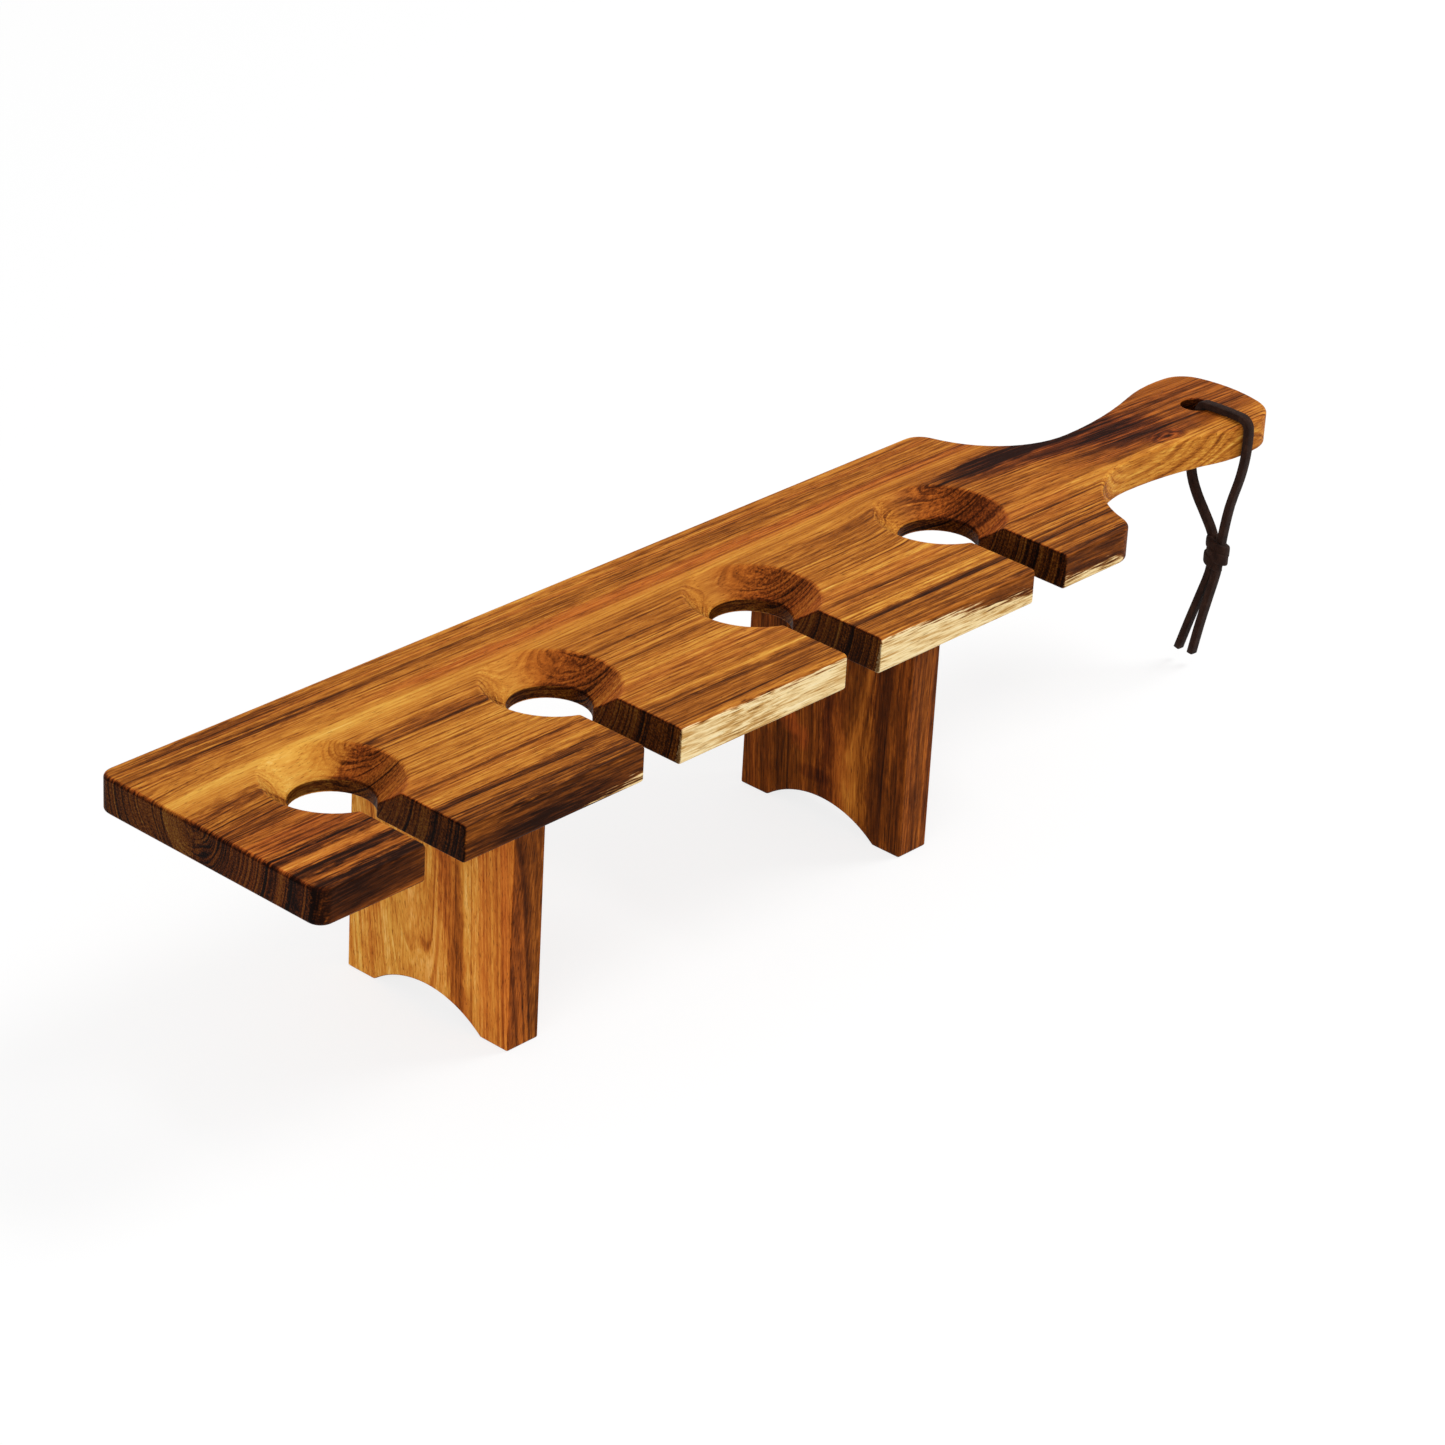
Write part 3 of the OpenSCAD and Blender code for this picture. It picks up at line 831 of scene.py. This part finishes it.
def makeSuede(look):
    # short nap that lies in patches, brown-black, with a soft sheen
    made, tree, shader = newMaterial("suede")
    where = millimetres(tree)
    nap = stretchedNoise(tree, where, look["nap"], detail=3.0, roughness=0.7)
    patch = stretchedNoise(tree, where, look["patches"])
    tone = maths(tree, "MULTIPLY_ADD", patch, 0.5, maths(tree, "MULTIPLY", nap, 0.5))
    tree.links.new(ramp(tree, tone, look["colours"]), shader.inputs["Base Color"])
    tree.links.new(spread(tree, nap, 0.3, 0.7, *look["roughness"]), shader.inputs["Roughness"])
    shader.inputs["Specular IOR Level"].default_value = look["shine"]
    weight, roughness = look["sheen"]
    shader.inputs["Sheen Weight"].default_value = weight
    shader.inputs["Sheen Roughness"].default_value = roughness
    addBump(tree, shader, nap, look["bump"])
    return made


suede = makeSuede(suedeLook)
print("suede ready")


for name in ("dowel_left_front", "dowel_left_rear", "dowel_right_front", "dowel_right_rear"):
    mesh = frame["nodes"][name].data
    mesh.materials.clear()
    mesh.materials.append(dowelWood)

sanding = {
    "width": 0.0009,        # metres, taken off on both sides of an edge
    "steps": 3,
    "sharpFrom": 32,        # degrees between two faces that count as an edge
    "creaseFrom": 38,       # degrees from which an edge is drawn sharp
    "slotWidth": 0.0188,
    "dishWidth": 0.0532,
    "hangingHole": 0.012,
    "hangingHoleX": 0.25975,
    "footBelow": 0.02,      # every outer edge of a leg starts below this height
    "nearEnough": 0.00004,
    "merge": 0.000001,
    "flat": 0.6,            # degrees up to which two faces are one
    "boxSlack": 0.00001,
    "volumeLeft": 0.98,     # a bevel that leaves less of the solid has gone wrong
}
seats = [mount for mount in frame["record"]["mounts"] if mount["name"].startswith("glass_seat")]


def onSeat(point):
    # whether a point of the plank lies on a slot's wall or on a rim of a dish or hole
    near = sanding["nearEnough"]
    for seat in seats:
        aside = point.x - seat["pos_m"][0]
        out = math.hypot(aside, point.y)
        if point.y < 0 and abs(abs(aside) - sanding["slotWidth"] / 2) < near:
            return True
        if abs(out - sanding["dishWidth"] / 2) < near or abs(out - seat["dims"]["r_mm"] / 1000) < near:
            return True
    fromHole = math.hypot(point.x - sanding["hangingHoleX"], point.y)
    return abs(fromHole - sanding["hangingHole"] / 2) < near


def mergedCopy(node):
    shape = bmesh.new()
    shape.from_mesh(frame["nodes"][node].data)
    bmesh.ops.remove_doubles(shape, verts=shape.verts, dist=sanding["merge"])
    flat = math.radians(sanding["flat"])
    bmesh.ops.dissolve_limit(shape, angle_limit=flat, verts=shape.verts, edges=shape.edges)
    return shape


def sandedCopy(node, finish, chosen):
    # the solid again, with the edges that the saw and the router left broken by sandpaper
    shape = mergedCopy(node)
    whole = shape.calc_volume()
    sharp = math.radians(sanding["sharpFrom"])
    edges = [e for e in shape.edges if e.calc_face_angle() > sharp and chosen(e)]
    bmesh.ops.bevel(shape, geom=edges, offset=sanding["width"], segments=sanding["steps"], profile=0.5,
                    affect="EDGES", clamp_overlap=False, material=-1)
    bmesh.ops.remove_doubles(shape, verts=shape.verts, dist=sanding["merge"])
    low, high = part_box(node)
    slack = sanding["boxSlack"]
    inside = all(low[k] - slack < v.co[k] < high[k] + slack for v in shape.verts for k in range(3))
    if not (inside and sanding["volumeLeft"] < shape.calc_volume() / whole < 1):
        print(f"{node}: the bevel went wrong, so its edges stay as they are in the solid")
        shape.free()
        shape = mergedCopy(node)
    for face in shape.faces:
        face.smooth = True
    piece = pieceFrom(shape, node + "_sanded")
    mesh = piece.data
    if "custom_normal" in mesh.attributes:
        mesh.attributes.remove(mesh.attributes["custom_normal"])
    mesh.set_sharp_from_angle(angle=math.radians(sanding["creaseFrom"]))
    mesh.materials.append(finish)
    evened = piece.modifiers.new("even normals", "WEIGHTED_NORMAL")
    evened.keep_sharp = True
    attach(piece, "root")
    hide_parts(node)
    print(f"{node}: {len(edges)} edges sanded")


sandedCopy("board", boardWood, lambda edge: all(onSeat(v.co) for v in edge.verts))
for name, finish in legWoods.items():
    sandedCopy(name, finish, lambda edge: any(v.co.z < sanding["footBelow"] for v in edge.verts))

knotPiece.data.materials.append(suede)
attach(knotPiece, "root")
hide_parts("thong_knot")
for piece, way, length in strands:
    piece.data.materials.append(suede)
    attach(piece, "root")
    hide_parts("thong")
print("pieces dressed")


studio = {
    "floorSize": 12,                # metres, half a side
    "floorTone": (0.86, 1.0),       # under the lamps' light, and as the camera sees it
    "floorWhite": 0.80,             # share of plain white over its shade, as the camera sees it
    "sky": (0.62, 1.0),             # strength as light, and as the camera sees it
    "lamps": {
        "key": {"place": (1.35, -0.55, 1.75), "aim": (0, 0, 0.1), "size": (0.8, 0.8), "power": 27},
        "fill": {"place": (-1.7, -0.8, 0.8), "aim": (0, 0, 0.06), "size": (1.4, 1.0), "power": 13},
    },
}


def makeFloor(values):
    shape = bmesh.new()
    bmesh.ops.create_grid(shape, x_segments=1, y_segments=1, size=values["floorSize"])
    floor = pieceFrom(shape, "floor")
    made, tree, shader = newMaterial("floor_white")
    shader.inputs["Roughness"].default_value = 0.9
    shader.inputs["Specular IOR Level"].default_value = 0.0
    # seen straight on, the floor is nearly white and keeps a faint shadow
    path = put(tree, "ShaderNodeLightPath").outputs
    seen = maths(tree, "MAXIMUM", path["Is Glossy Ray"], path["Is Transmission Ray"])
    seen = maths(tree, "MAXIMUM", path["Is Camera Ray"], seen)
    tree.links.new(spread(tree, seen, 0.0, 1.0, *values["floorTone"]), shader.inputs["Base Color"])
    white = put(tree, "ShaderNodeEmission", {"Color": (1, 1, 1, 1), "Strength": 1.0}).outputs[0]
    share = maths(tree, "MULTIPLY", seen, values["floorWhite"])
    both = put(tree, "ShaderNodeMixShader", {0: share, 1: shader.outputs[0], 2: white}).outputs[0]
    tree.links.new(both, tree.nodes["Material Output"].inputs["Surface"])
    floor.data.materials.append(made)


def makeSky(values):
    world = bpy.data.worlds.new("studio")
    world.use_nodes = True
    tree = world.node_tree
    background = tree.nodes["Background"]
    background.inputs["Color"].default_value = (1, 1, 1, 1)
    seen = put(tree, "ShaderNodeLightPath").outputs["Is Camera Ray"]
    tree.links.new(spread(tree, seen, 0.0, 1.0, *values["sky"]), background.inputs["Strength"])
    bpy.context.scene.world = world


def softLight(name, place, aim, size, power):
    lamp = bpy.data.lights.new(name, "AREA")
    lamp.shape = "RECTANGLE"
    lamp.size, lamp.size_y = size
    lamp.energy = power
    light = bpy.data.objects.new(name, lamp)
    light.location = place
    light.rotation_euler = (Vector(aim) - Vector(place)).to_track_quat("-Z", "Y").to_euler()
    bpy.context.scene.collection.objects.link(light)


makeFloor(studio)
makeSky(studio)
for name, lamp in studio["lamps"].items():
    softLight(name, **lamp)
bpy.context.scene.view_settings.view_transform = "Standard"
print("stage and lights set")
